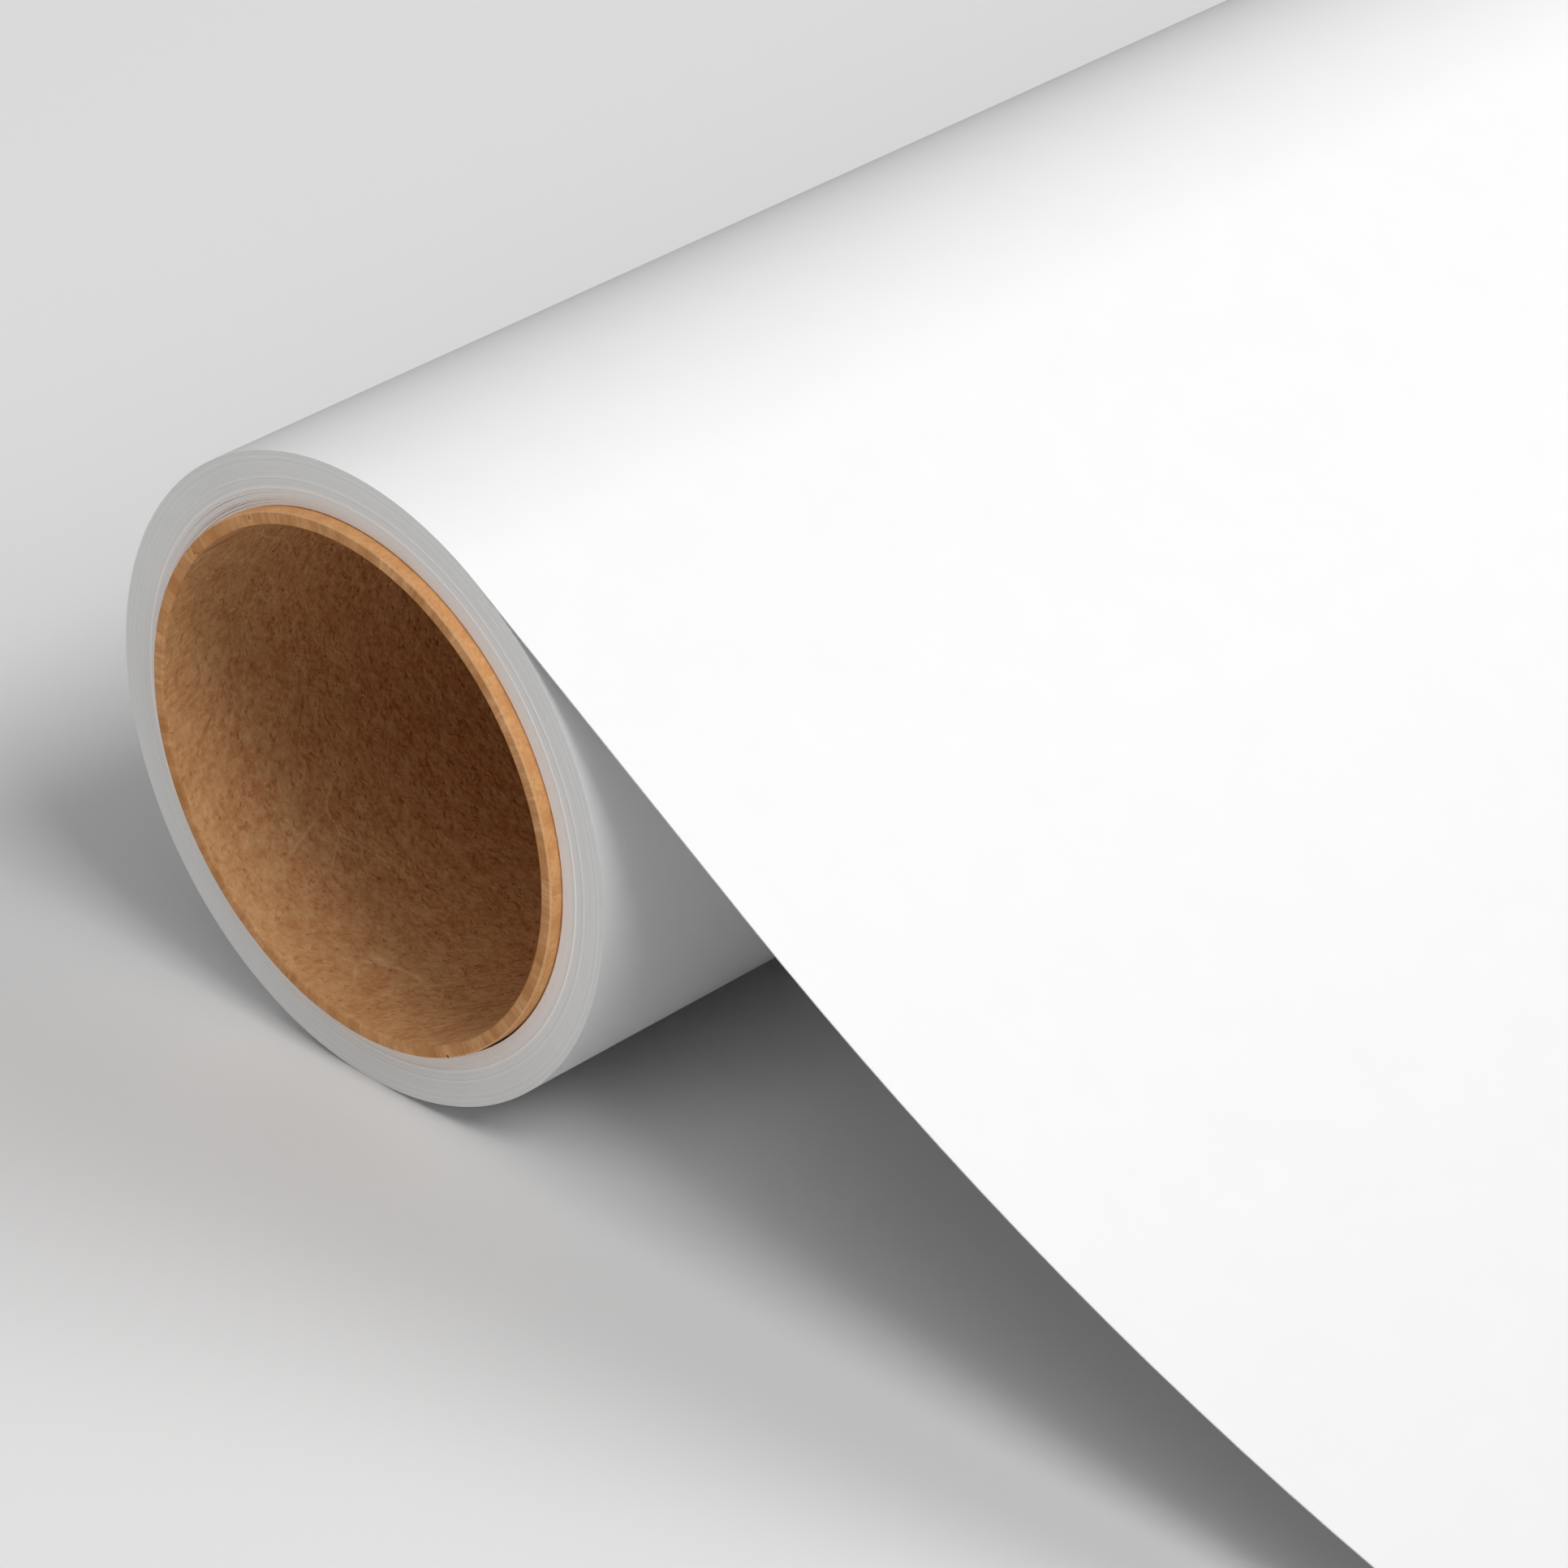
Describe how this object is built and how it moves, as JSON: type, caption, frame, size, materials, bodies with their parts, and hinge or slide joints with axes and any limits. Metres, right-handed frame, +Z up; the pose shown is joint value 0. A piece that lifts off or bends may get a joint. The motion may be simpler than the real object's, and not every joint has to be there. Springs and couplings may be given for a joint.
{
  "type": "backdrop paper roll",
  "caption": "Seamless studio backdrop paper wound on a plain paperboard core, with its free sheet drawn off the top of the roll and easing down flat on the floor.",
  "frame": {"origin": "on the axis of the core's bore, halfway along the core", "axes": "+X along the core's axis, the length of the roll; the free sheet runs out towards -Y; +Z up. The roll and the sheet lie on a floor at z = -0.0481."},
  "size_m": [1.354, 0.7683, 0.0965],
  "materials": {
    "backdrop_paper": "matte",
    "core_liner": "matte, faintly glazed kraft liner",
    "core_board": "matte, cut fibre",
    "start_tape": "matte creped tape"
  },
  "bodies": {
    "free_sheet": {"paper_sheet": "backdrop_paper"},
    "roll": {"core_liner_ply": "core_liner", "core_body_ply_inner": "core_board", "core_body_ply_outer": "core_board", "core_outer_ply": "core_board", "start_tape_near": "start_tape", "start_tape_middle": "start_tape", "start_tape_far": "start_tape", "wound_paper": "backdrop_paper"},
    "leading_end": {"sheet_lead": "backdrop_paper"}
  },
  "joints": [
    {"name": "roll_turn", "type": "hinge", "parent": "free_sheet", "child": "roll", "pos_m": [0, 0, 0], "axis": [1, 0, 0], "range_deg": [-60, 360]},
    {"name": "sheet_feed", "type": "slide", "parent": "free_sheet", "child": "leading_end", "axis": [0, -1, 0], "range_m": [-0.0504, 0.3023]}
  ],
  "couplings": [
    {"joint": "sheet_feed", "follows": "roll_turn", "m_per_rad": 0.0481}
  ]
}
